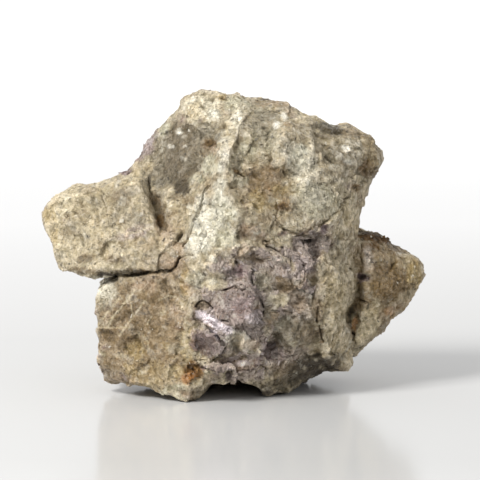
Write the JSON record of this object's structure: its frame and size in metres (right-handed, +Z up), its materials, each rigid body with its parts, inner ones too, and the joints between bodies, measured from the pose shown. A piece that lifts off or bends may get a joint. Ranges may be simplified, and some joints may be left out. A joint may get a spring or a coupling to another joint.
{
  "type": "lepidolite pegmatite specimen",
  "caption": "Broken lump of lepidolite pegmatite: a feldspar ledge over a square block, grey quartz, a pale ridge and a mass of purple mica; rests on small flat spots.",
  "frame": {"origin": "middle of the bounding box's base, on the surface that the stone stands on", "axes": "+Z up, -Y towards the front with the mica, +X to the right across the width of the front"},
  "size_m": [0.13, 0.084, 0.102],
  "materials": {
    "pegmatite": "rough broken rock: cream and tan feldspar, grey quartz, pale granular albite, purple-grey mica with a sheen"
  },
  "bodies": {
    "root": {"pegmatite": "pegmatite"}
  },
  "joints": []
}
